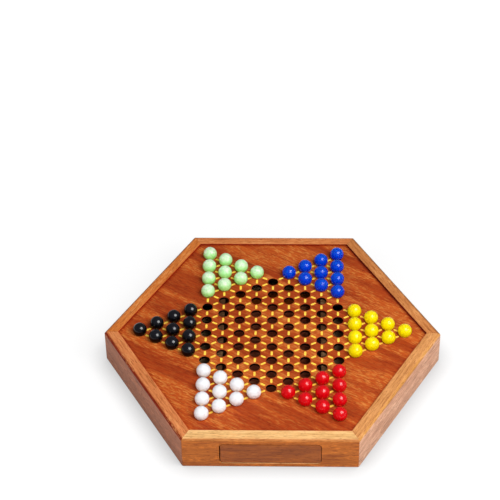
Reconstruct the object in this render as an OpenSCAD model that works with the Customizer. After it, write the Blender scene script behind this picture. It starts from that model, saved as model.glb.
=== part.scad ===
// Chinese checkers board: a six-sided wooden box with a drilled playing panel,
// sixty marbles and a marble drawer in the front rail. Millimetres, +Z up.
// The origin is the centre of the six-sided footprint, on the surface it stands on.

/* [Board] */
// Distance from the centre to each of the six outer corners
corner_distance = 167.5; // [160:0.5:190]
// Height of the rails
board_height = 37.5; // [33:0.5:46]

/* [Rails] */
// Width of a rail seen from above
rail_width = 12.5; // [10:0.5:15]
// Width of the round-over on the upper outer edge, seen from above
edge_width = 4; // [3.5:0.1:6]
// Height of that round-over on the outer face
edge_height = 3; // [2.2:0.1:3.4]
// Radius of its tight end, where it meets the outer face
edge_nose = 1.8; // [1:0.1:2]
// Round-over on the lower outer edge
foot_round = 1; // [0.5:0.1:2]
// Rounding of the six upright corners
corner_round = 2; // [1:0.1:4]

/* [Playing panel] */
// Thickness of the panel
panel_thickness = 3; // [2.5:0.1:3.6]
// Drop from the rail tops to the panel
panel_recess = 1.4; // [1:0.1:2.4]
// Depth of the groove in the rails that holds the panel
panel_groove = 4; // [2:0.5:6]
// Play left around a panel in its groove or rebate
panel_play = 0.3; // [0.1:0.1:0.5]

/* [Marble field] */
// Distance between neighbouring holes
hole_pitch = 19; // [17:0.1:19.6]
// Diameter of the holes
hole_diameter = 10.5; // [8:0.1:12]
// Countersink at the top of each hole
hole_chamfer = 0.5; // [0.2:0.1:0.8]
// Diameter of a marble
marble_diameter = 14; // [13:0.1:16]
// Rise of a marble above the point where it would touch its hole
marble_lift = 0.3; // [0.1:0.05:0.5]
// Length of a link bar between two holes
link_length = 5.6; // [3:0.1:6.5]
// Width of a link bar
link_width = 2.2; // [1:0.1:3]
// Height of a link bar above the panel
link_height = 0.2; // [0.1:0.05:0.4]
// Chamfer on the corners of a link bar
link_chamfer = 0.4; // [0.1:0.05:0.45]

/* [Base] */
// Thickness of the base panel
base_thickness = 4; // [3:0.1:6]
// Height of the base panel above the surface the rails stand on
base_recess = 0.8; // [0.4:0.1:1.5]
// Width of the rebate that holds the base panel
base_rebate = 5; // [3:0.5:7]
// Diameter of the finger hole under the drawer
finger_hole = 24; // [18:1:30]
// Distance from the front rail to the centre of the finger hole
finger_hole_setback = 16; // [16:1:40]

/* [Drawer bay] */
// Wood left above the drawer opening
lintel_height = 6.9; // [6.2:0.1:9]
// Thickness of the two bay walls
bay_wall = 8; // [5:0.5:12]
// Depth of the strip that stops the drawer
stop_depth = 8; // [5:0.5:12]
// Height of the strip that stops the drawer
stop_height = 10; // [6:0.5:14]

/* [Drawer] */
// Width of the drawer front
drawer_width = 95.6; // [70:0.1:110]
// Length of the drawer over all
drawer_length = 220; // [160:1:240]
// Rounding of the drawer front's corners
drawer_corner = 3.5; // [2:0.1:4.5]
// Gap round the sides and the top of the drawer front
drawer_gap = 0.6; // [0.4:0.1:1]
// Running gap under the drawer and between the drawer and its stop
running_gap = 0.3; // [0.2:0.1:0.5]
// Thickness of the drawer front
drawer_front_thickness = 10; // [8:0.5:12]
// Thickness of the drawer sides and back
drawer_wall = 5; // [4:0.5:8]
// Thickness of the drawer bottom
drawer_bottom_thickness = 3; // [2:0.1:4]
// Height of the drawer bottom above the lower edge of the drawer
drawer_bottom_rise = 1.5; // [1:0.1:3]
// Depth of the groove that holds the drawer bottom
drawer_groove = 2.5; // [1.5:0.1:3]
// Drop from the top of the drawer front to the top of the sides
drawer_side_drop = 4.5; // [3.5:0.5:8]

/* [Hidden] */
$fn = 64;
over = 1;                        // how far cutters reach past what they cut
marbles_per_side = 4;            // along one side of a star point
side_angle = 60;
half_flat = cos(side_angle / 2);
apothem = corner_distance * half_flat;
inner_apothem = apothem - rail_width;
panel_top = board_height - panel_recess;
panel_under = panel_top - panel_thickness;
base_top = base_recess + base_thickness;
column_step = hole_pitch * sin(side_angle);
hole_radius = hole_diameter / 2;
marble_radius = marble_diameter / 2;
marble_height = panel_top - hole_chamfer + marble_lift
    + sqrt(pow(marble_radius, 2) - pow(hole_radius, 2));

bay_half = drawer_width / 2 + drawer_gap;
opening_top = board_height - lintel_height;
drawer_under = base_top + running_gap;
drawer_front_top = opening_top - drawer_gap;
drawer_front_height = drawer_front_top - drawer_under;
drawer_side_height = drawer_front_height - drawer_side_drop;
drawer_front_back = -apothem + drawer_front_thickness;
drawer_end = -apothem + drawer_length;
drawer_floor = drawer_under + drawer_bottom_rise;

rail_color = "#d99a5b";
panel_color = "#b5592c";
drawer_color = "#95583a";
plywood_color = "#c79a66";
link_color = "#ffd23f";

// Holes lie on a grid of triangles: a steps along Y, b steps 30 degrees up from X.
function grid_point(a, b) = [b * column_step, (a + b / 2) * hole_pitch];
function in_star(a, b) =
    (a >= -marbles_per_side && b >= -marbles_per_side && a + b <= marbles_per_side)
    || (a <= marbles_per_side && b <= marbles_per_side && a + b >= -marbles_per_side);
star_range = [-2 * marbles_per_side : 2 * marbles_per_side];
star_cells = [for (a = star_range, b = star_range) if (in_star(a, b)) [a, b]];
grid_steps = [[1, 0], [0, 1], [-1, 1]];
links = [
    for (cell = star_cells, step = grid_steps)
        if (in_star(cell[0] + step[0], cell[1] + step[1])) [cell, cell + step]
];

module hexagon(flat_distance) {
    polygon([for (i = [0 : 5]) flat_distance / half_flat * [cos(i * side_angle), sin(i * side_angle)]]);
}

module rounded_rectangle(width, height, radius) {
    square([width - 2 * radius, height], center = true);
    square([width, height - 2 * radius], center = true);
    for (x = [-1, 1], y = [-1, 1])
        translate([x * (width / 2 - radius), y * (height / 2 - radius)])
            circle(radius);
}

// What a round-over of this radius takes off the corner at the origin of the first quadrant.
module edge_cut(radius) {
    difference() {
        translate([-over, -over])
            square(radius + over);
        translate([radius, radius])
            circle(radius);
    }
}

// What a flattened round-over takes off that corner: a slow arc leaves the flat side, width along
// x, and passes into a tight one, the nose, which ends on the y side, height from the corner.
module flat_edge_cut(width, height, nose) {
    slow = (pow(width, 2) + pow(height, 2) - 2 * width * nose) / (2 * (height - nose));
    slow_center = [width, slow];
    nose_center = [nose, height];
    difference() {
        translate([-over, -over])
            square([width + over, height + over]);
        intersection() {
            translate(slow_center)
                circle(slow);
            polygon([
                slow_center,
                slow_center + 2 * slow * (nose_center - slow_center) / norm(nose_center - slow_center),
                [width, -slow]
            ]);
        }
        translate(nose_center)
            circle(nose);
    }
}

// Cross-section of a rail: x runs inwards from the outer face, y is the height.
module rail_profile() {
    difference() {
        square([rail_width, board_height]);
        translate([0, board_height])
            mirror([0, 1])
                flat_edge_cut(edge_width, edge_height, edge_nose);
        edge_cut(foot_round);
        translate([rail_width - panel_groove, panel_under])
            square([panel_groove + over, panel_thickness]);
        translate([rail_width - base_rebate, -over])
            square([base_rebate + over, base_top + over]);
    }
}

// What rounding takes off the upright corner that lies on the +X axis.
module corner_cut() {
    reach = 3 * corner_round;
    translate([corner_distance - corner_round / half_flat, 0])
        difference() {
            polygon([
                [0, 0],
                reach * [cos(30), -sin(30)],
                [2 * reach, 0],
                reach * [cos(30), sin(30)]
            ]);
            circle(corner_round);
        }
}

// The sixth of the footprint that one rail fills, mitred to its neighbours.
module rail_sector() {
    difference() {
        polygon([
            [0, 0],
            corner_distance * [cos(240), sin(240)],
            corner_distance * [cos(300), sin(300)]
        ]);
        for (angle = [240, 300])
            rotate(angle)
                corner_cut();
    }
}

module rail(turn) {
    color(rail_color)
        rotate(turn)
            intersection() {
                translate([-corner_distance, -apothem, 0])
                    rotate([90, 0, 90])
                        linear_extrude(2 * corner_distance)
                            rail_profile();
                linear_extrude(board_height)
                    rail_sector();
            }
}

module drawer_opening() {
    opening_height = opening_top - base_top;
    translate([0, -apothem + rail_width + over, base_top + opening_height / 2])
        rotate([90, 0, 0])
            linear_extrude(rail_width + 2 * over)
                rounded_rectangle(2 * bay_half, opening_height, drawer_corner + drawer_gap);
}

module rail_front() {
    color(rail_color)
        difference() {
            rail(0);
            drawer_opening();
        }
}

module rail_front_right() { rail(60); }
module rail_back_right() { rail(120); }
module rail_back() { rail(180); }
module rail_back_left() { rail(240); }
module rail_front_left() { rail(300); }

// A through hole with its countersink, down from the origin.
module marble_hole() {
    rotate_extrude()
        polygon([
            [0, over],
            [hole_radius + hole_chamfer + over, over],
            [hole_radius, -hole_chamfer],
            [hole_radius, -panel_thickness - over],
            [0, -panel_thickness - over]
        ]);
}

module playing_panel() {
    color(panel_color)
        difference() {
            translate([0, 0, panel_under])
                linear_extrude(panel_thickness)
                    hexagon(inner_apothem + panel_groove - panel_play);
            for (cell = star_cells)
                translate(concat(grid_point(cell[0], cell[1]), panel_top))
                    marble_hole();
        }
}

module link_outline() {
    long = link_length / 2;
    wide = link_width / 2;
    polygon([
        [-long + link_chamfer, -wide], [long - link_chamfer, -wide],
        [long, -wide + link_chamfer], [long, wide - link_chamfer],
        [long - link_chamfer, wide], [-long + link_chamfer, wide],
        [-long, wide - link_chamfer], [-long, -wide + link_chamfer]
    ]);
}

module link_bars() {
    color(link_color)
        for (link = links) {
            from = grid_point(link[0][0], link[0][1]);
            to = grid_point(link[1][0], link[1][1]);
            along = to - from;
            translate(concat((from + to) / 2, panel_top))
                rotate(atan2(along[1], along[0]))
                    linear_extrude(link_height)
                        link_outline();
        }
}

module base_panel() {
    color(plywood_color)
        translate([0, 0, base_recess])
            linear_extrude(base_thickness)
                difference() {
                    hexagon(inner_apothem + base_rebate - panel_play);
                    translate([0, -inner_apothem + finger_hole_setback])
                        circle(d = finger_hole);
                }
}

// A wall of the drawer bay: it guides the drawer and carries the panel.
module bay_wall_at(side) {
    color(plywood_color)
        translate([side * (bay_half + bay_wall / 2), 0, base_top])
            linear_extrude(panel_under - base_top)
                square([bay_wall, 2 * inner_apothem], center = true);
}

module bay_wall_left() { bay_wall_at(-1); }
module bay_wall_right() { bay_wall_at(1); }

module drawer_stop() {
    color(plywood_color)
        translate([-bay_half, drawer_end + running_gap, base_top])
            cube([2 * bay_half, stop_depth, stop_height]);
}

module drawer_bottom_blank(grow) {
    half = drawer_width / 2 - drawer_wall + drawer_groove - grow;
    translate([-half, drawer_front_back - drawer_groove + grow, drawer_floor])
        cube([2 * half, drawer_end - drawer_front_back + drawer_groove - grow, drawer_bottom_thickness]);
}

module drawer_front() {
    color(drawer_color)
        difference() {
            translate([0, drawer_front_back, drawer_under + drawer_front_height / 2])
                rotate([90, 0, 0])
                    linear_extrude(drawer_front_thickness)
                        rounded_rectangle(drawer_width, drawer_front_height, drawer_corner);
            drawer_bottom_blank(0);
        }
}

// Cross-section of the right drawer side; its lower edge is rounded to pass the opening.
module drawer_side_profile() {
    difference() {
        translate([drawer_width / 2 - drawer_wall, 0])
            square([drawer_wall, drawer_side_height]);
        translate([drawer_width / 2, 0])
            mirror([1, 0])
                edge_cut(drawer_corner);
    }
}

module drawer_side(side) {
    color(drawer_color)
        mirror([side < 0 ? 1 : 0, 0, 0])
            difference() {
                translate([0, drawer_end, drawer_under])
                    rotate([90, 0, 0])
                        linear_extrude(drawer_end - drawer_front_back)
                            drawer_side_profile();
                drawer_bottom_blank(0);
            }
}

module drawer_side_left() { drawer_side(-1); }
module drawer_side_right() { drawer_side(1); }

module drawer_back() {
    back_width = drawer_width - 2 * drawer_wall;
    back_under = drawer_floor + drawer_bottom_thickness;
    color(drawer_color)
        translate([-back_width / 2, drawer_end - drawer_wall, back_under])
            cube([back_width, drawer_wall, drawer_under + drawer_side_height - back_under]);
}

module drawer_bottom() {
    color(plywood_color)
        drawer_bottom_blank(panel_play);
}

// The ten marbles of one star point, starting from the point on the +X axis.
module marble_set(turn, paint) {
    color(paint)
        rotate(turn)
            for (b = [marbles_per_side + 1 : 2 * marbles_per_side])
                for (a = [-marbles_per_side : marbles_per_side - b])
                    translate(concat(grid_point(a, b), marble_height))
                        sphere(marble_radius);
}

module marbles_yellow() { marble_set(0, "#f5d31a"); }
module marbles_blue() { marble_set(60, "#1d4fc4"); }
module marbles_green() { marble_set(120, "#a8d8a0"); }
module marbles_black() { marble_set(180, "#141414"); }
module marbles_white() { marble_set(240, "#f0f0ee"); }
module marbles_red() { marble_set(300, "#d3202a"); }

rail_front();
rail_front_right();
rail_back_right();
rail_back();
rail_back_left();
rail_front_left();
playing_panel();
link_bars();
base_panel();
bay_wall_left();
bay_wall_right();
drawer_stop();
drawer_front();
drawer_side_left();
drawer_side_right();
drawer_back();
drawer_bottom();
marbles_yellow();
marbles_blue();
marbles_green();
marbles_black();
marbles_white();
marbles_red();
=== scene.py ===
import math

import bmesh
import bpy
from mathutils import Matrix, Quaternion, Vector


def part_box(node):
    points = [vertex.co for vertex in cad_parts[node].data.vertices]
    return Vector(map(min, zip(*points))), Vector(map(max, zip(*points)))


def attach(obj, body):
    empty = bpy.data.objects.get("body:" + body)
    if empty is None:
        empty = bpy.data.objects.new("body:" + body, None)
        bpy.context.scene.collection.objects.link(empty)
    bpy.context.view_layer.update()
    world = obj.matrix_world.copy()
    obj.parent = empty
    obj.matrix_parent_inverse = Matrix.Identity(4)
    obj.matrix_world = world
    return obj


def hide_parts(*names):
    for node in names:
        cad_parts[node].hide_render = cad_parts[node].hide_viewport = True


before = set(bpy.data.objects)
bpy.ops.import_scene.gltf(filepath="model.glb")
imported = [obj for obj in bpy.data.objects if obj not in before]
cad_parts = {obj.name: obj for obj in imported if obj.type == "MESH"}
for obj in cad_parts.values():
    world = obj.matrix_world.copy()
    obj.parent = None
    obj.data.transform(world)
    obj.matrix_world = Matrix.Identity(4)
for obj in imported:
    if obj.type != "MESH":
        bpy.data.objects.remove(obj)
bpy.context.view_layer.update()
print("frame loaded:", len(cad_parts), "nodes")

mm = 0.001
sixth = math.radians(60)
mitre = math.tan(sixth / 2)
white = (1.0, 1.0, 1.0, 1.0)
weld = 0.001 * mm  # points closer than this are one point
crease = 35  # degrees; a sharper edge is broken, and stays sharp in the shading
railLow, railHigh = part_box("rail_front")
panelLow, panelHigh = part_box("playing_panel")
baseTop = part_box("base_panel")[1]
drawerLow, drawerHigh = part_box("drawer_front")
apothem = -railLow.y  # from the centre to the outer face of a rail
railWidth = railHigh.y - railLow.y


def linear(tone):
    parts = [int(tone[i:i + 2], 16) / 255 for i in (0, 2, 4)]
    return tuple(p / 12.92 if p < 0.04045 else ((p + 0.055) / 1.055) ** 2.4 for p in parts) + (1.0,)


class Wire:
    # One socket of a node tree. Sums on wires add Math nodes to the same tree.
    def __init__(self, tree, socket=None):
        self.tree, self.socket = tree, socket

    def node(self, kind, settings=None, inputs=None, output=0):
        made = self.tree.nodes.new(kind)
        for name, value in (settings or {}).items():
            if name == "stops":
                ramp = made.color_ramp.elements
                while len(ramp) < len(value):
                    ramp.new(0.5)
                for stop, (position, colour) in zip(ramp, value):
                    stop.position, stop.color = position, colour
            else:
                setattr(made, name, value)
        for name, value in (inputs or {}).items():
            for part in value if isinstance(value, list) else [value]:
                if isinstance(part, Wire):
                    self.tree.links.new(part.socket, made.inputs[name])
                else:
                    made.inputs[name].default_value = part
        return Wire(self.tree, made.outputs[output]) if made.outputs else Wire(self.tree)

    def __getitem__(self, output):  # another output of the same node
        return Wire(self.tree, self.socket.node.outputs[output])

    def sum(self, operation, *parts):
        return self.node("ShaderNodeMath", {"operation": operation}, dict(enumerate(parts)))

    def __add__(self, other): return self.sum("ADD", self, other)
    def __sub__(self, other): return self.sum("SUBTRACT", self, other)
    def __mul__(self, other): return self.sum("MULTIPLY", self, other)
    def __truediv__(self, other): return self.sum("DIVIDE", self, other)
    def __pow__(self, other): return self.sum("POWER", self, other)
    def __gt__(self, other): return self.sum("GREATER_THAN", self, other)
    def __rsub__(self, other): return self.sum("SUBTRACT", other, self)
    __radd__, __rmul__ = __add__, __mul__

    def least(self, other): return self.sum("MINIMUM", self, other)
    def most(self, other): return self.sum("MAXIMUM", self, other)
    def floor(self): return self.sum("FLOOR", self)
    def size(self): return self.sum("ABSOLUTE", self)
    def sine(self): return self.sum("SINE", self)
    def cosine(self): return self.sum("COSINE", self)

    def span(self, low, high):  # 0 at low, 1 at high, clamped
        return self.node("ShaderNodeMapRange", {}, {"Value": self, "From Min": low, "From Max": high})

    def along(self, direction):  # the part of this vector in a direction
        return self.node("ShaderNodeVectorMath", {"operation": "DOT_PRODUCT"}, {0: self, 1: direction}, 1)

    def scaled(self, scale):  # a vector times another vector
        return self.node("ShaderNodeVectorMath", {"operation": "MULTIPLY"}, {0: self, 1: scale})

    def noise(self, scale=1.0, detail=2.0, rough=0.5, warp=0.0):
        return self.node("ShaderNodeTexNoise", {}, {
            "Vector": self, "Scale": scale, "Detail": detail, "Roughness": rough, "Distortion": warp})

    def blend(self, other, share):  # colours: this one, moving to the other as share goes to 1
        return self.node("ShaderNodeMix", {"data_type": "RGBA"}, {6: self, 7: other, 0: share}, 2)

    def times(self, other, share=1.0):
        return self.node("ShaderNodeMix", {"data_type": "RGBA", "blend_type": "MULTIPLY"},
                         {6: self, 7: other, 0: share}, 2)

    def ramp(self, places, *colours):  # this value as a colour, with each colour at its place from 0 to 1
        return self.node("ShaderNodeValToRGB", {"stops": list(zip(places, colours))}, {0: self})


def newMaterial(name):
    made = bpy.data.materials.new(name)
    made.use_nodes = True
    made.node_tree.nodes.clear()
    return made, Wire(made.node_tree)


def closeMaterial(wire, surface):
    wire.node("ShaderNodeOutputMaterial", {}, {"Surface": surface})


def newTree(name, inputs):
    tree = bpy.data.node_groups.new(name, "GeometryNodeTree")
    tree.interface.new_socket("Geometry", in_out="INPUT", socket_type="NodeSocketGeometry")
    for label, kind in inputs.items():
        tree.interface.new_socket(label, in_out="INPUT", socket_type="NodeSocket" + kind)
    tree.interface.new_socket("Geometry", in_out="OUTPUT", socket_type="NodeSocketGeometry")
    return tree, Wire(tree).node("NodeGroupInput")


def closeTree(shape, material):
    made = shape.node("GeometryNodeRealizeInstances", {}, {0: shape})
    made = shape.node("GeometryNodeSetMaterial", {}, {"Geometry": made, "Material": material})
    shape.node("NodeGroupOutput", {}, {0: made})


def newPiece(name, shape=None, material=None):
    mesh = bpy.data.meshes.new(name)
    if shape:
        shape.to_mesh(mesh)
        shape.free()
    piece = bpy.data.objects.new(name, mesh)
    bpy.context.scene.collection.objects.link(piece)
    if material:
        mesh.materials.append(material)
    return piece


def loft(shape, rows):
    # Rows of corners are joined into a closed skin with a cap at each end.
    for near, far in zip(rows, rows[1:]):
        for i in range(len(near)):
            j = (i + 1) % len(near)
            shape.faces.new((near[i], near[j], far[j], far[i]))
    shape.faces.new(rows[0])
    shape.faces.new(rows[-1])
    bmesh.ops.remove_doubles(shape, verts=shape.verts, dist=weld)
    bmesh.ops.recalc_face_normals(shape, faces=shape.faces)


def runTree(piece, tree, values):
    modifier = piece.modifiers.new(tree.name, "NODES")
    modifier.node_group = tree
    for socket in tree.interface.items_tree:
        if socket.in_out == "INPUT" and socket.name in values:
            modifier[socket.identifier] = values[socket.name]


def takeMesh(piece):
    # What the modifiers give becomes the plain mesh of the piece.
    bpy.context.view_layer.update()
    graph = bpy.context.evaluated_depsgraph_get()
    mesh = bpy.data.meshes.new_from_object(piece.evaluated_get(graph), depsgraph=graph)
    piece.modifiers.clear()
    piece.data = mesh
    mesh.name = piece.name
    return mesh


def settle(piece, sharpAngle=crease, flats=True):
    mesh = takeMesh(piece)
    mesh.shade_smooth()
    mesh.set_sharp_from_angle(angle=math.radians(sharpAngle))
    if flats:  # wide faces stay flat in the light, and the narrow ones beside them take the turn
        even = piece.modifiers.new("evenNormals", "WEIGHTED_NORMAL")
        even.mode, even.weight, even.keep_sharp = "FACE_AREA", 50, True
        takeMesh(piece)
    return piece


def soften(piece, width, segments=2):
    edge = piece.modifiers.new("softEdges", "BEVEL")
    edge.width, edge.segments = width, segments
    edge.limit_method, edge.angle_limit = "ANGLE", math.radians(crease)
    edge.use_clamp_overlap = False


def place(piece, body, slotName, *nodes):
    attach(piece, body)
    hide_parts(*nodes)
    print("made", piece.name, len(piece.data.polygons), "faces")


def upwardness(wire):
    # The height part of the normal: 1 on a level top, 0 on an upright face, below 0 underneath.
    normal = wire.node("ShaderNodeNewGeometry", {}, {}, "Normal")
    return normal.node("ShaderNodeSeparateXYZ", {}, {0: normal})["Z"]


def squareTo(spot, step):
    # Distance from the middle of the board towards one rail, counted from the back right one.
    angle = sixth * step + sixth / 2
    return spot.along((math.cos(angle), math.sin(angle), 0))


def panelEdge(spot):
    # Distance from the middle of the board, measured square to the nearest rail.
    far = [squareTo(spot, i).size() for i in range(3)]
    return far[0].most(far[1]).most(far[2])


figure = {  # shared by all the woods: how fine each figure is, along the grain and across it, and where it shows
    "drift": (9, 26, 26), "broad": (10, 34, 34), "streak": (45, 560, 560), "fleck": (150, 800, 800),
    "pore": (180, 1300, 1300), "bandEdge": (0.43, 0.57), "fleckEdge": (0.5, 0.62), "poreEdge": (0.56, 0.7),
    "faceFleckGain": 1.6, "fleckLeast": 0.15, "heavyFall": 1.6, "footReach": 35 * mm,
    "bumpStrength": 0.35, "bumpDepth": 0.04 * mm, "streakBump": 0.5, "poreBump": 0.6,
    "streakRough": 0.2, "poreRough": 0.12,
    "toneStops": (0.15, 0.5, 0.85), "turnStops": (0.1, 0.35, 0.8, 0.99), "fleckStops": (0.3, 0.9),
}


def makeWood(name, look):
    # turn: direction of the grain round Z; shift: which part of the timber this piece was cut from;
    # heart: where the middle of the trunk ran, beside and below the piece; wander: how far the grain strays.
    material, wire = newMaterial(name)
    spot = wire.node("ShaderNodeTexCoord", {}, {}, "Object")
    grain = spot.node("ShaderNodeMapping", {"vector_type": "TEXTURE"}, {
        "Vector": spot, "Rotation": (0, 0, look["turn"]), "Location": look["shift"]})
    drift = grain.scaled(figure["drift"]).noise(detail=1.5)
    bend = grain.node("ShaderNodeVectorMath", {"operation": "MULTIPLY_ADD"}, {
        0: drift["Color"], 1: (0, look["wander"], look["wander"]), 2: grain})
    parts = bend.node("ShaderNodeSeparateXYZ", {}, {0: bend})
    across, depth = parts["Y"] - look["heart"][0], parts["Z"] - look["heart"][1]
    ringRadius = (across * across + depth * depth) ** 0.5
    rings = wire.node("ShaderNodeTexNoise", {"noise_dimensions": "1D"}, {
        "W": ringRadius * look["rings"], "Scale": 1.0, "Detail": 3.0, "Roughness": 0.6})
    broad = bend.scaled(figure["broad"]).noise(detail=1)
    band = bend.scaled(look["bandScale"]).noise(detail=1, warp=0.3).span(*figure["bandEdge"])
    streak = bend.scaled(figure["streak"]).noise(detail=3, rough=0.65)
    fleck = bend.scaled(figure["fleck"]).noise(rough=0.6)
    pore = bend.scaled(figure["pore"]).noise(rough=0.6).span(*figure["poreEdge"])
    tone = (rings - 0.5) * look["ringDepth"] + (broad - 0.5) * look["broadDepth"] \
        + (band - 0.5) * look["bandDepth"] + (streak - 0.5) * look["streakDepth"] + 0.5
    colour = tone.ramp(figure["toneStops"], look["dark"] + (1,), look["middle"] + (1,), white)
    upward = upwardness(wire)
    # Level tops, round edges and upright faces each take their own tone, which paints on them the light and shade
    # that falls there; on the panel it paints the hole bores almost black.
    top, edge, face = (linear(look.get(key, look["tone"])) for key in ("tone", "edgeShadingTone", "faceShadingTone"))
    colour = colour.times(upward.ramp(figure["turnStops"], face, edge, edge, top))
    # The rails grow darker towards the foot: painted shade.
    if "footShade" in look:
        foot = (look["footShade"],) * 3 + (1,)
        rise = spot.node("ShaderNodeSeparateXYZ", {}, {0: spot})["Z"].span(0, figure["footReach"])
        colour = colour.times(rise.ramp((0, 1), foot, white))
    faceFleck = tuple(min(part * figure["faceFleckGain"], 1) for part in face)
    fleckTone = upward.ramp(figure["fleckStops"], faceFleck, linear(look["fleckTone"]))
    fleckShare = band * (1 - figure["fleckLeast"]) + figure["fleckLeast"]  # most of them lie in the bands
    colour = colour.blend(fleckTone, fleck.span(*figure["fleckEdge"]) * look["fleckDepth"] * fleckShare)
    colour = colour.times(linear(look["poreTone"]), pore * look["poreDepth"])
    if "corner" in look:  # painted shade in the corner between the panel and its rails
        corner, inner = look["corner"], apothem - railWidth
        reach = panelEdge(spot)
        cornerShadeShare = reach.span(inner - corner["panelReach"], inner) ** corner["falloff"] \
            * (1 - reach.span(inner, inner + corner["railReach"]))
        colour = colour.times(linear(look["stainTone"]), cornerShadeShare)
        if "heavyTone" in look:  # painted shadow that the back right rail casts on the panel, over the corner shade
            castShadowShare = squareTo(spot, 0).span(inner - corner["panelReach"], inner)
            colour = colour.times(linear(look["heavyTone"]), castShadowShare ** figure["heavyFall"])
    bump = wire.node("ShaderNodeBump", {}, {
        "Strength": figure["bumpStrength"], "Distance": figure["bumpDepth"],
        "Height": streak * figure["streakBump"] - pore * figure["poreBump"]})
    roughness = look["roughness"] + (streak - 0.5) * figure["streakRough"] + pore * figure["poreRough"]
    surface = wire.node("ShaderNodeBsdfPrincipled", {}, {
        "Base Color": colour, "Normal": bump, "Roughness": roughness, "Specular IOR Level": look["gloss"]})
    closeMaterial(wire, surface)
    return material


# How far the painted corner shade reaches over the panel and onto the inner edge of the rails.
cornerShade = {"panelReach": 4 * mm, "railReach": 0.8 * mm, "falloff": 1.5}
railLook = {
    "dark": (0.60, 0.48, 0.36), "middle": (0.90, 0.84, 0.76), "poreTone": "8a4c28",
    "fleckTone": "e8a868", "fleckDepth": 0.45, "rings": 420, "ringDepth": 0.7, "broadDepth": 0.3,
    "bandScale": (26, 110, 110), "bandDepth": 0.1, "streakDepth": 1.5, "poreDepth": 0.6, "wander": 3 * mm,
    "heart": (30 * mm, -60 * mm), "roughness": 0.48, "gloss": 0.22, "footShade": 0.8, "corner": cornerShade,
}
panelLook = {
    "tone": "be581e", "faceShadingTone": "100200", "dark": (0.54, 0.30, 0.30), "middle": (0.76, 0.55, 0.54),
    "poreTone": "70290f", "fleckTone": "d58a42", "fleckDepth": 0.65,
    "rings": 260, "ringDepth": 0.3, "broadDepth": 0.4, "bandScale": (6, 62, 62), "bandDepth": 0.4,
    "streakDepth": 1.1, "poreDepth": 0.5, "wander": 9 * mm, "heart": (20 * mm, -300 * mm),
    "roughness": 0.5, "gloss": 0.2, "turn": math.radians(-31), "shift": (0.31, 0.12, 0.04),
    "corner": cornerShade, "stainTone": "e0b483", "heavyTone": "8e4a20",
}
drawerLook = {
    "tone": "a85817", "dark": (0.50, 0.40, 0.34), "middle": (0.76, 0.69, 0.63), "poreTone": "6a3018",
    "fleckTone": "b8805a", "fleckDepth": 0.2, "rings": 380, "ringDepth": 0.6, "broadDepth": 0.3,
    "bandScale": (26, 110, 110), "bandDepth": 0.2, "streakDepth": 1.0, "poreDepth": 0.5, "wander": 3 * mm,
    "heart": (30 * mm, -40 * mm), "roughness": 0.5, "gloss": 0.3, "turn": 0, "shift": (0.57, 0.31, 0.2),
}
plywoodLook = {
    "tone": "d8b184", "dark": (0.60, 0.50, 0.42), "middle": (0.84, 0.79, 0.73), "poreTone": "8d5f38",
    "fleckTone": "e2c08f", "fleckDepth": 0.15, "rings": 150, "ringDepth": 0.8, "broadDepth": 0.3,
    "bandScale": (26, 110, 110), "bandDepth": 0.15, "streakDepth": 0.6, "poreDepth": 0.3, "wander": 12 * mm,
    "heart": (10 * mm, -90 * mm), "roughness": 0.62, "gloss": 0.25, "turn": 0, "shift": (0.2, 0.5, 0.1),
}

panelWood = makeWood("panelWood", panelLook)
drawerWood = makeWood("drawerWood", drawerLook)
drawerSideWood = makeWood("drawerSideWood", dict(drawerLook, turn=math.radians(90)))
plywood = makeWood("plywood", plywoodLook)
darkPlywood = makeWood("darkPlywood", dict(plywoodLook, tone="4c3018"))
redPlywood = makeWood("redPlywood", dict(plywoodLook, tone="94442a"))

railSize = {
    "edgeWidth": 4 * mm, "edgeHeight": 3 * mm, "edgeNose": 1.8 * mm,
    "footRound": 1 * mm, "cornerRound": 2 * mm, "steps": 8,
    "panelPlay": 0.3 * mm, "drawerGap": 0.6 * mm, "runningGap": 0.3 * mm, "openingRound": 4.1 * mm,
    "openingSteps": 10, "openingEase": 0.5 * mm, "toolOver": 4 * mm, "ease": 0.14 * mm,
}
rails = [  # node, turns of a sixth, tones of the upper side, the round edge and the faces, which paint the light and shade each side gets, and the tone of the painted shade inside
    ("rail_front", 0, "ecc083", "c17c42", "c46d23", "c33f03"),
    ("rail_front_right", 1, "d4965c", "d3954f", "e1a989", "a82802"),
    ("rail_back_right", 2, "c68049", "845324", "c57c50", "8a1c02"),
    ("rail_back", 3, "d6824b", "a9602f", "c57648", "aa2a02"),
    ("rail_back_left", 4, "d57c39", "90491a", "b86c41", "e25a08"),
    ("rail_front_left", 5, "d58450", "882100", "aa653f", "e66a14"),
]


def arc(centreX, centreY, radius, start, steps, sweep=math.radians(90)):
    angles = [start - sweep * i / steps for i in range(steps + 1)]
    return [(centreX + radius * math.cos(a), centreY + radius * math.sin(a)) for a in angles]


def roundOver(width, height, nose, top, steps):
    # A tight arc rises from the outer face and passes into a slow one that ends flat on top.
    slow = (width ** 2 + height ** 2 - 2 * width * nose) / (2 * (height - nose))
    turn = math.atan2(slow - height, width - nose)
    return arc(nose, top - height, nose, math.radians(180), steps // 2, turn)[:-1] \
        + arc(width, top - slow, slow, math.radians(180) - turn, steps, math.radians(90) - turn)


def railProfile(size):
    # (distance in from the outer face, height), clockwise from the inner foot
    top, foot = railHigh.z, size["footRound"]
    grooveIn = railWidth - (panelHigh.y + size["panelPlay"] - (apothem - railWidth))
    rebateIn = railWidth - (baseTop.y + size["panelPlay"] - (apothem - railWidth))
    return [(rebateIn, 0)] \
        + arc(foot, foot, foot, math.radians(270), size["steps"] // 2) \
        + roundOver(size["edgeWidth"], size["edgeHeight"], size["edgeNose"], top, size["steps"]) \
        + [(railWidth, top), (railWidth, panelHigh.z), (grooveIn, panelHigh.z),
           (grooveIn, panelLow.z), (railWidth, panelLow.z), (railWidth, baseTop.z), (rebateIn, baseTop.z)]


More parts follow.
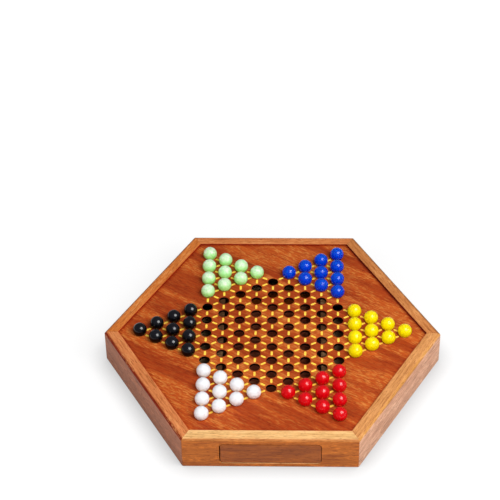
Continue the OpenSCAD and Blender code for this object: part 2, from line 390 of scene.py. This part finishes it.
def railShape(size, turn):
    # The profile is swept between the two mitres and round half of each upright corner.
    shape = bmesh.new()
    profile = railProfile(size)
    corner, steps = size["cornerRound"], size["steps"] // 2
    stations = [(-1, i / steps) for i in range(steps, -1, -1)] + [(1, i / steps) for i in range(steps + 1)]
    rows = []
    for side, share in stations:
        row = []
        for inset, height in profile:
            if inset < corner:
                angle = share * sixth / 2
                x = (apothem - corner) * mitre + (corner - inset) * math.sin(angle)
                y = (apothem - corner) + (corner - inset) * math.cos(angle)
            else:
                x, y = (apothem - inset) * mitre, apothem - inset
            row.append(shape.verts.new((side * x, -y, height)))
        rows.append(row)
    loft(shape, rows)
    bmesh.ops.rotate(shape, verts=shape.verts, matrix=Matrix.Rotation(turn, 3, "Z"))
    return shape


def roundedOutline(left, right, low, high, radius, steps):
    points = []
    for x, y, start in ((right - radius, high - radius, 90), (right - radius, low + radius, 0),
                        (left + radius, low + radius, -90), (left + radius, high - radius, 180)):
        points += arc(x, y, radius, math.radians(start), steps)
    return points


def openingTool(size):
    # The drawer opening as a solid, flared where the outer edge of the opening is eased.
    shape = bmesh.new()
    gap, ease, over = size["drawerGap"], size["openingEase"], size["toolOver"]
    rows = []
    for y, flare in ((-over, ease), (0, ease), (ease * 0.3, ease * 0.3), (ease, 0), (railWidth + over, 0)):
        outline = roundedOutline(
            drawerLow.x - gap - flare, drawerHigh.x + gap + flare,
            drawerLow.z - size["runningGap"] - flare, drawerHigh.z + gap + flare,
            size["openingRound"] + flare, size["openingSteps"])
        rows.append([shape.verts.new((x, railLow.y + y, z)) for x, z in outline])
    loft(shape, rows)
    return shape


def cutOut(piece, tool):
    cut = piece.modifiers.new("cutOut", "BOOLEAN")
    cut.operation, cut.solver, cut.object = "DIFFERENCE", "EXACT", tool


for node, step, topTone, edgeShadingTone, faceShadingTone, stainTone in rails:
    turn = step * sixth
    wood = makeWood(node + "_wood", dict(
        railLook, turn=turn, shift=(0.4 * step, 0.17 * step, 0.05 * step),
        tone=topTone, edgeShadingTone=edgeShadingTone, faceShadingTone=faceShadingTone, stainTone=stainTone))
    rail = newPiece(node + "_timber", railShape(railSize, turn), wood)
    tool = None
    if node == "rail_front":
        tool = newPiece("openingTool", openingTool(railSize))
        cutOut(rail, tool)
    soften(rail, railSize["ease"])
    settle(rail)
    if tool:
        bpy.data.objects.remove(tool)
    place(rail, "case", "rail_wood", node)


fieldSize = {"pitch": 19 * mm, "arm": 4}


def starCells(start, pitch, arm, stepA=0, stepB=0, tipsOnly=False):
    # Points on the grid of triangles that lie in the star, halfway to the cell one step on. The cells are
    # counted in whole numbers, so each limit lies half a cell away.
    side = arm * 4 + 1
    index = start.node("GeometryNodeInputIndex")
    row = ((index + 0.5) / side).floor()
    a, b = row - arm * 2, index - row * side - arm * 2

    def inStar(a, b):
        up = (a + arm).least(b + arm).least(arm - a - b)
        down = (arm - a).least(arm - b).least(a + b + arm)
        return up.most(down) > -0.5

    keep = inStar(a, b) * inStar(a + stepA, b + stepB)
    if tipsOnly:
        keep = keep * (b > arm + 0.5)
    a, b = a + stepA / 2, b + stepB / 2
    spot = start.node("ShaderNodeCombineXYZ", {}, {
        "X": b * pitch * math.cos(sixth / 2), "Y": (a + b / 2) * pitch})
    points = start.node("GeometryNodePoints", {}, {"Count": side * side, "Position": spot})
    return start.node("GeometryNodeDeleteGeometry", {"domain": "POINT"}, {
        "Geometry": points, "Selection": 1 - keep})


panelSize = {"holeRadius": 5.25 * mm, "holeRound": 0.4 * mm, "sides": 40, "liningRings": 5, "weld": 0.005 * mm}


def panelTree(material):
    tree, given = newTree("drilledPanel", {
        "Pitch": "Float", "Arm": "Float", "Flat Distance": "Float", "Top": "Float", "Thickness": "Float",
        "Hole Radius": "Float", "Hole Round": "Float", "Sides": "Int"})
    cells = starCells(given, given["Pitch"], given["Arm"])
    outline = given.node("GeometryNodeCurvePrimitiveCircle", {}, {
        "Resolution": 6, "Radius": given["Flat Distance"] / math.cos(sixth / 2)})

    def sheet(radius):
        ring = given.node("GeometryNodeCurvePrimitiveCircle", {}, {"Resolution": given["Sides"], "Radius": radius})
        rings = given.node("GeometryNodeInstanceOnPoints", {}, {"Points": cells, "Instance": ring})
        rings = given.node("GeometryNodeRealizeInstances", {}, {0: rings})
        both = given.node("GeometryNodeJoinGeometry", {}, {0: [outline, rings]})
        return given.node("GeometryNodeFillCurve", {"mode": "TRIANGLES"}, {0: both})

    def lifted(shape, height):
        return given.node("GeometryNodeTransform", {}, {
            "Geometry": shape, "Translation": given.node("ShaderNodeCombineXYZ", {}, {"Z": height})})

    upper = lifted(sheet(given["Hole Radius"] + given["Hole Round"]), given["Top"])
    lower = lifted(given.node("GeometryNodeFlipFaces", {}, {0: sheet(given["Hole Radius"])}),
                   given["Top"] - given["Thickness"])
    # A hole's lining starts as a plain tube of height 1. Its lowest ring goes to the underside, and the others
    # follow the round edge.
    ringStep = 1 / panelSize["liningRings"]
    tube = given.node("GeometryNodeMeshCylinder", {"fill_type": "NONE"}, {
        "Vertices": given["Sides"], "Side Segments": panelSize["liningRings"], "Radius": 1.0, "Depth": 1.0})
    local = given.node("GeometryNodeInputPosition")
    local = local.node("ShaderNodeSeparateXYZ", {}, {0: local})
    rise = local["Z"] + 0.5
    angle = (rise - ringStep).most(0.0) / (1 - ringStep) * (math.pi / 2)
    bottom = 1 - (rise > ringStep / 2)
    radius = given["Hole Radius"] + given["Hole Round"] * (1 - angle.cosine())
    height = (angle.sine() - 1) * given["Hole Round"] * (1 - bottom) - given["Thickness"] * bottom
    spot = given.node("ShaderNodeCombineXYZ", {}, {
        "X": local["X"] * radius, "Y": local["Y"] * radius, "Z": height + given["Top"]})
    lining = given.node("GeometryNodeSetPosition", {}, {"Geometry": tube["Mesh"], "Position": spot})
    lining = given.node("GeometryNodeFlipFaces", {}, {0: lining})
    linings = given.node("GeometryNodeInstanceOnPoints", {}, {"Points": cells, "Instance": lining})
    rim = given.node("GeometryNodeMeshCylinder", {"fill_type": "NONE"}, {
        "Vertices": 6, "Side Segments": 1, "Radius": given["Flat Distance"] / math.cos(sixth / 2),
        "Depth": given["Thickness"]})
    rim = lifted(rim["Mesh"], given["Top"] - given["Thickness"] / 2)
    whole = given.node("GeometryNodeJoinGeometry", {}, {0: [upper, lower, linings, rim]})
    whole = given.node("GeometryNodeRealizeInstances", {}, {0: whole})
    whole = given.node("GeometryNodeMergeByDistance", {}, {"Geometry": whole, "Distance": panelSize["weld"]})
    closeTree(whole, material)
    return tree


panel = newPiece("drilledPanel")
runTree(panel, panelTree(panelWood), {
    "Pitch": fieldSize["pitch"], "Arm": float(fieldSize["arm"]), "Flat Distance": panelHigh.y,
    "Top": panelHigh.z, "Thickness": panelHigh.z - panelLow.z, "Hole Radius": panelSize["holeRadius"],
    "Hole Round": panelSize["holeRound"], "Sides": panelSize["sides"]})
settle(panel, 40)
place(panel, "case", "panel_wood", "playing_panel")


enamelLook = {
    "tone": "ffd54d", "edge": "b8660f", "thin": "f4ab26", "thinShare": 0.5, "thinEdge": (0.5, 0.72),
    "topEdge": (0.2, 0.9), "cloudScale": 260,
    "roughness": 0.25, "cloudRough": 0.2, "bumpScale": 1500, "bumpStrength": 0.3, "bumpDepth": 0.03 * mm,
}
barSize = {
    "length": 5.6 * mm, "width": 2.2 * mm, "height": 0.2 * mm, "shoulder": 0.45, "endRound": 0.8 * mm,
    "crown": 0.45 * mm, "crownRound": 0.8, "sunk": 0.1 * mm, "endSteps": 2,
}


def makeEnamel(name, look):
    material, wire = newMaterial(name)
    spot = wire.node("ShaderNodeTexCoord", {}, {}, "Object")
    cloud = spot.noise(look["cloudScale"])
    # A bar's top takes the main tone and its sides the darker edge tone: painted shade on the sides.
    colour = upwardness(wire).span(*look["topEdge"]).ramp((0, 1), linear(look["edge"]), linear(look["tone"]))
    colour = colour.blend(linear(look["thin"]), cloud.span(*look["thinEdge"]) * look["thinShare"])
    bump = wire.node("ShaderNodeBump", {}, {
        "Strength": look["bumpStrength"], "Distance": look["bumpDepth"], "Height": spot.noise(look["bumpScale"])})
    surface = wire.node("ShaderNodeBsdfPrincipled", {}, {
        "Base Color": colour, "Roughness": cloud * look["cloudRough"] + look["roughness"], "Normal": bump})
    closeMaterial(wire, surface)
    return material


def barShape(size):
    shape = bmesh.new()
    long, wide, crown = size["length"] / 2, size["width"] / 2, size["crown"]
    rows = []
    for inset, height in ((0, -size["sunk"]), (0, size["height"] * size["shoulder"]), (crown, size["height"])):
        outline = roundedOutline(-long + inset, long - inset, -wide + inset, wide - inset,
                                 size["endRound"] - inset * size["crownRound"], size["endSteps"])
        rows.append([shape.verts.new((x, y, height)) for x, y in outline])
    loft(shape, rows)
    return shape


def barTree(material):
    tree, given = newTree("linkBars", {"Pitch": "Float", "Arm": "Float", "Top": "Float"})
    bars = []
    for stepA, stepB, angle in ((1, 0, 90), (0, 1, 30), (-1, 1, -30)):
        cells = starCells(given, given["Pitch"], given["Arm"], stepA, stepB)
        bars.append(given.node("GeometryNodeInstanceOnPoints", {}, {
            "Points": cells, "Instance": given["Geometry"], "Rotation": (0, 0, math.radians(angle))}))
    whole = given.node("GeometryNodeJoinGeometry", {}, {0: bars})
    whole = given.node("GeometryNodeTransform", {}, {
        "Geometry": whole, "Translation": given.node("ShaderNodeCombineXYZ", {}, {"Z": given["Top"]})})
    closeTree(whole, material)
    return tree


bars = newPiece("linkBars", barShape(barSize))
runTree(bars, barTree(makeEnamel("linkEnamel", enamelLook)), {
    "Pitch": fieldSize["pitch"], "Arm": float(fieldSize["arm"]), "Top": panelHigh.z})
settle(bars, 60)
place(bars, "case", "link_enamel", "link_bars")


marbleSize = {"diameter": 14 * mm, "fineness": 5}
marbleLook = {  # the coat thins out towards the underside, where the lower tone comes in: painted light that makes the undersides paler, and on the black marbles painted shade that makes them darker
    "cloudEdge": (0.38, 0.62), "lowerEdge": (0.8, 0.0), "coatEdge": (0.1, 0.6), "gloss": 0.18, "roughSpread": 0.04,
    "bumpScale": 900, "bumpStrength": 0.08, "bumpDepth": 0.02 * mm,
}
marbleSets = [
    # colour, turns of a sixth, main, second and lower tone (painted light on the underside, painted shade on the
    # black ones),
    # how far light spreads inside, size of the clouds, coat, roughness
    ("yellow", 0, "ffd300", "ffcf00", "ffe200", 1.0, 160, 0.5, 0.22),
    ("blue", 1, "0046c4", "0040ba", "0033cc", 1.0, 160, 0.5, 0.22),
    ("green", 2, "b2f4aa", "dcfdd0", "a6f888", 1.0, 420, 0.5, 0.22),
    ("black", 3, "0c0c12", "101018", "000000", 0.0, 160, 0.8, 0.2),
    ("white", 4, "e6e8ef", "e2e5ec", "f8f8fc", 1.0, 160, 0.5, 0.22),
    ("red", 5, "cc0410", "c2040e", "d2030e", 1.0, 160, 0.7, 0.22),
]


def makeMarble(name, tones, spread, mottle, coat, roughness):
    material, wire = newMaterial(name)
    tone, secondTone, undersideLightTone = (linear(part) for part in tones)
    spot = wire.node("ShaderNodeTexCoord", {}, {}, "Object")
    cloud = spot.noise(mottle, detail=3, rough=0.6, warp=0.4)
    colour = cloud.span(*marbleLook["cloudEdge"]).ramp((0, 1), tone, secondTone)
    upward = upwardness(wire)
    colour = colour.blend(undersideLightTone, upward.span(*marbleLook["lowerEdge"]))
    rough = cloud * marbleLook["roughSpread"] + (roughness - marbleLook["roughSpread"] / 2)
    bump = wire.node("ShaderNodeBump", {}, {
        "Strength": marbleLook["bumpStrength"], "Distance": marbleLook["bumpDepth"],
        "Height": spot.noise(marbleLook["bumpScale"])})
    surface = wire.node("ShaderNodeBsdfPrincipled", {}, {
        "Base Color": colour, "Roughness": rough, "Specular IOR Level": marbleLook["gloss"], "Normal": bump,
        "Coat Weight": upward.span(*marbleLook["coatEdge"]) * coat, "Coat Roughness": roughness,
        "Subsurface Weight": spread, "Subsurface Radius": (1.0, 1.0, 1.0),
        "Subsurface Scale": marbleSize["diameter"]})
    closeMaterial(wire, surface)
    return material


def marbleTree(name, material):
    tree, given = newTree(name, {"Pitch": "Float", "Arm": "Float", "Radius": "Float", "Height": "Float",
                                 "Turn": "Float", "Fineness": "Int"})
    cells = starCells(given, given["Pitch"], given["Arm"], tipsOnly=True)
    ball = given.node("GeometryNodeMeshIcoSphere", {}, {
        "Radius": given["Radius"], "Subdivisions": given["Fineness"]})
    balls = given.node("GeometryNodeInstanceOnPoints", {}, {"Points": cells, "Instance": ball})
    balls = given.node("GeometryNodeTransform", {}, {
        "Geometry": balls, "Translation": given.node("ShaderNodeCombineXYZ", {}, {"Z": given["Height"]}),
        "Rotation": given.node("ShaderNodeCombineXYZ", {}, {"Z": given["Turn"]})})
    closeTree(balls, material)
    return tree


for colour, step, *tones, spread, mottle, coat, roughness in marbleSets:
    node = "marbles_" + colour
    low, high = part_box(node)
    glass = makeMarble(colour + "Marble", tones, spread, mottle, coat, roughness)
    balls = newPiece(node + "_set")
    runTree(balls, marbleTree(node + "_tree", glass), {
        "Pitch": fieldSize["pitch"], "Arm": float(fieldSize["arm"]), "Radius": marbleSize["diameter"] / 2,
        "Height": (low.z + high.z) / 2, "Turn": step * sixth, "Fineness": marbleSize["fineness"]})
    settle(balls, 60, flats=False)
    place(balls, colour + "_marbles", "marble_" + colour, node)


def easedCopy(node, name, material, ease, shift=(0, 0, 0)):
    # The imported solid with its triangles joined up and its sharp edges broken.
    shape = bmesh.new()
    shape.from_mesh(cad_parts[node].data)
    bmesh.ops.remove_doubles(shape, verts=shape.verts, dist=weld)
    bmesh.ops.dissolve_limit(shape, angle_limit=math.radians(1), verts=shape.verts, edges=shape.edges)
    bmesh.ops.translate(shape, verts=shape.verts, vec=shift)
    piece = newPiece(name, shape, material)
    soften(piece, ease)
    return settle(piece)


boxParts = [  # node, piece, material, body, slot, broken edge
    ("base_panel", "basePanel", plywood, "case", "plywood", 0.25),
    ("bay_wall_left", "bayWallLeft", darkPlywood, "case", "plywood", 0.4),
    ("bay_wall_right", "bayWallRight", darkPlywood, "case", "plywood", 0.4),
    ("drawer_stop", "drawerStop", darkPlywood, "case", "plywood", 0.4),
    ("drawer_side_left", "drawerSideLeft", drawerSideWood, "drawer", "drawer_wood", 0.5),
    ("drawer_side_right", "drawerSideRight", drawerSideWood, "drawer", "drawer_wood", 0.5),
    ("drawer_back", "drawerBack", drawerWood, "drawer", "drawer_wood", 0.5),
    ("drawer_bottom", "drawerBottom", redPlywood, "drawer", "plywood", 0.2),
    ("drawer_front", "drawerFront", drawerWood, "drawer", "drawer_wood", 0.5),
]
drawerFrontShift = (0.25 * mm, 0.35 * mm, 0)  # it shuts a little deep and off centre
for node, name, material, body, slotName, ease in boxParts:
    shift = drawerFrontShift if node == "drawer_front" else (0, 0, 0)
    place(easedCopy(node, name, material, ease * mm, shift), body, slotName, node)


studio = {
    "key": 16.6, "keySize": 0.9, "keyDistance": 1.25, "keyFrom": (0.433, -0.345, 0.83),
    "fill": 11.5, "fillSize": 1.3, "fillDistance": 1.7, "fillFrom": (-0.55, -0.5, 0.67), "sky": 0.13,
    "floorTone": 0.75, "floorShade": 0.2, "floorLift": 0.8, "contactReach": 22 * mm, "contactDepth": 0.6,
    "plainFrom": 0.2, "plainTo": 0.5, "floorRadius": 6, "floorDrop": 0.05 * mm,
}


def makeStudio(studio):
    scene = bpy.context.scene
    scene.view_settings.view_transform = "Standard"
    world = bpy.data.worlds.new("studio")
    scene.world = world
    world.use_nodes = True
    world.node_tree.nodes.clear()
    wire = Wire(world.node_tree)
    seen = wire.node("ShaderNodeLightPath")["Is Camera Ray"]
    sky = wire.node("ShaderNodeBackground", {}, {
        "Color": white, "Strength": seen * (1 - studio["sky"]) + studio["sky"]})
    wire.node("ShaderNodeOutputWorld", {}, {"Surface": sky})

    material, wire = newMaterial("floorPaper")
    rays = wire.node("ShaderNodeLightPath")
    shown = rays["Is Camera Ray"].most(rays["Is Glossy Ray"])
    grey = (studio["floorTone"],) * 3 + (1,)
    plain = wire.node("ShaderNodeBsdfDiffuse", {}, {"Color": grey})
    # Near the board the floor is darkened by how much of the sky the board hides: painted contact shade, in the
    # floor's own colour and glow.
    clear = wire.node("ShaderNodeAmbientOcclusion", {"samples": 16}, {"Distance": studio["contactReach"]}, "AO")
    clear = clear * studio["contactDepth"] + (1 - studio["contactDepth"])
    spot = wire.node("ShaderNodeTexCoord", {}, {}, "Object")
    far = spot.node("ShaderNodeVectorMath", {"operation": "LENGTH"}, {0: spot}, 1)
    far = far.span(studio["plainFrom"], studio["plainTo"])  # away from the board the floor is plain white
    shade, glow = clear * studio["floorShade"], clear * studio["floorLift"] + far * (1 - studio["floorLift"])
    shade, glow = (wire.node("ShaderNodeCombineColor", {}, {0: part, 1: part, 2: part}) for part in (shade, glow))
    soft = wire.node("ShaderNodeBsdfDiffuse", {}, {"Color": shade})
    lift = wire.node("ShaderNodeEmission", {}, {"Color": glow})
    bright = wire.node("ShaderNodeAddShader", {}, {0: soft, 1: lift})
    closeMaterial(wire, wire.node("ShaderNodeMixShader", {}, {0: shown, 1: plain, 2: bright}))
    shape = bmesh.new()
    bmesh.ops.create_circle(shape, cap_ends=True, segments=64, radius=studio["floorRadius"])
    bmesh.ops.translate(shape, verts=shape.verts, vec=(0, 0, -studio["floorDrop"]))  # just clear of the rails' feet
    floor = newPiece("floor", shape, material)

    for name in ("key", "fill"):
        lamp = bpy.data.lights.new(name + "Lamp", "AREA")
        lamp.shape = "DISK"
        lamp.energy, lamp.size = studio[name], studio[name + "Size"]
        softbox = bpy.data.objects.new(name + "Lamp", lamp)
        scene.collection.objects.link(softbox)
        towards = Vector(studio[name + "From"]).normalized()
        softbox.location = towards * studio[name + "Distance"]
        softbox.rotation_euler = towards.to_track_quat("Z", "Y").to_euler()
        softbox.visible_glossy = name == "key"  # the fill leaves no second highlight


view = {"lens": 133.78, "sensor": 36, "distance": 1.9413, "azimuth": -1.909, "elevation": 41.427, "roll": -1.053,
        "target": (-0.02461, 0.12347, 0.0375)}


def makeCamera(view):
    azimuth, elevation = math.radians(view["azimuth"]), math.radians(view["elevation"])
    forward = Vector((math.sin(azimuth) * math.cos(elevation), math.cos(azimuth) * math.cos(elevation),
                      -math.sin(elevation)))
    data = bpy.data.cameras.new("camera")
    data.lens, data.sensor_width = view["lens"], view["sensor"]
    camera = bpy.data.objects.new("camera", data)
    bpy.context.scene.collection.objects.link(camera)
    camera.location = Vector(view["target"]) - forward * view["distance"]
    camera.rotation_mode = "QUATERNION"
    camera.rotation_quaternion = forward.to_track_quat("-Z", "Y") \
        @ Quaternion((0, 0, 1), math.radians(view["roll"]))
    bpy.context.scene.camera = camera


makeStudio(studio)
makeCamera(view)
print("studio and camera ready")
